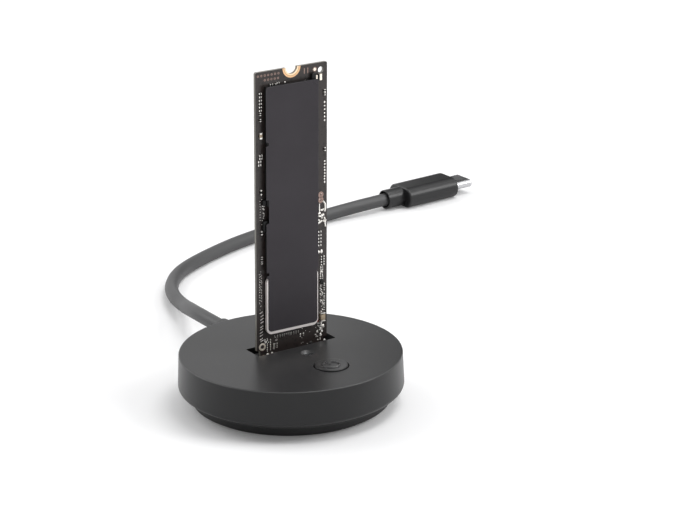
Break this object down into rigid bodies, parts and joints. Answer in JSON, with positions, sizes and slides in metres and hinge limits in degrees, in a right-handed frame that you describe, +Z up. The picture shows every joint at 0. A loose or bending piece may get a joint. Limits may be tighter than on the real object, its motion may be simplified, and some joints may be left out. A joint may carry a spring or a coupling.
{
  "type": "drive docking station",
  "caption": "Round puck-shaped dock with a slot that holds a bare stick drive upright, a flush power button, a status light and a captive lead with a flat plug.",
  "frame": {"origin": "on the desk under the middle of the puck", "axes": "+Z up along the standing drive, -Y towards the power button, +Y towards the lead, +X to the right seen from the button"},
  "size_m": [0.1733, 0.1557, 0.0903],
  "materials": {
    "cover_plastic": "fine spark texture, charcoal",
    "base_plastic": "satin, near black",
    "foot_rubber": "matte, black",
    "screw_steel": "plain steel",
    "main_board_mask": "dark green solder mask",
    "socket_plastic": "satin, black",
    "contact_gold": "gold plating",
    "chip_epoxy": "moulded package, black",
    "choke_ferrite": "dark grey ferrite",
    "can_metal": "plated can",
    "capacitor_ceramic": "ceramic, tan",
    "switch_plastic": "satin, black",
    "plunger_plastic": "smooth, red",
    "button_plastic": "satin, charcoal",
    "light_pipe_clear": "smoked clear resin",
    "led_lens": "pale lens",
    "header_plastic": "natural nylon",
    "lead_jacket": "smooth, dark grey",
    "grommet_rubber": "matte, dark grey",
    "plug_plastic": "satin, dark grey",
    "plug_steel": "drawn steel, plated",
    "insert_plastic": "black liner",
    "drive_mask": "brown-black solder mask",
    "lid_metal": "plated lid",
    "label_film": "satin printed film, left plain"
  },
  "bodies": {
    "dock": {"top_cover": "cover_plastic", "base_plate": "base_plastic", "foot_ring": "foot_rubber", "cover_screws": "screw_steel", "board_screws": "screw_steel", "main_board": "main_board_mask", "drive_socket": "socket_plastic", "socket_contacts": "contact_gold", "bridge_chip": "chip_epoxy", "power_chip": "chip_epoxy", "power_inductor": "choke_ferrite", "crystal_can": "can_metal", "board_capacitors": "capacitor_ceramic", "push_switch": "switch_plastic", "light_pipe": "light_pipe_clear", "status_led": "led_lens", "lead_header": "header_plastic", "inner_lead": "lead_jacket", "strain_relief": "grommet_rubber", "lead": "lead_jacket", "plug_sleeve": "plug_plastic", "plug_body": "plug_plastic", "plug_shell": "plug_steel", "plug_insert": "insert_plastic"},
    "button": {"power_button": "button_plastic", "switch_plunger": "plunger_plastic"},
    "drive": {"drive_board": "drive_mask", "drive_contacts": "contact_gold", "notch_ring": "contact_gold", "flash_chips": "chip_epoxy", "memory_chip": "chip_epoxy", "drive_controller": "chip_epoxy", "controller_lid": "lid_metal", "drive_label": "label_film", "drive_passives": "capacitor_ceramic", "drive_inductors": "choke_ferrite"}
  },
  "joints": [
    {"name": "button_press", "type": "slide", "parent": "dock", "child": "button", "axis": [0, 0, -1], "range_m": [0, 0.0004], "stiffness_N_per_m": 500, "springref_m": -0.001},
    {"name": "drive_pull", "type": "slide", "parent": "dock", "child": "drive", "axis": [0.0148, 0, 0.9999], "range_m": [0, 0.02]}
  ]
}
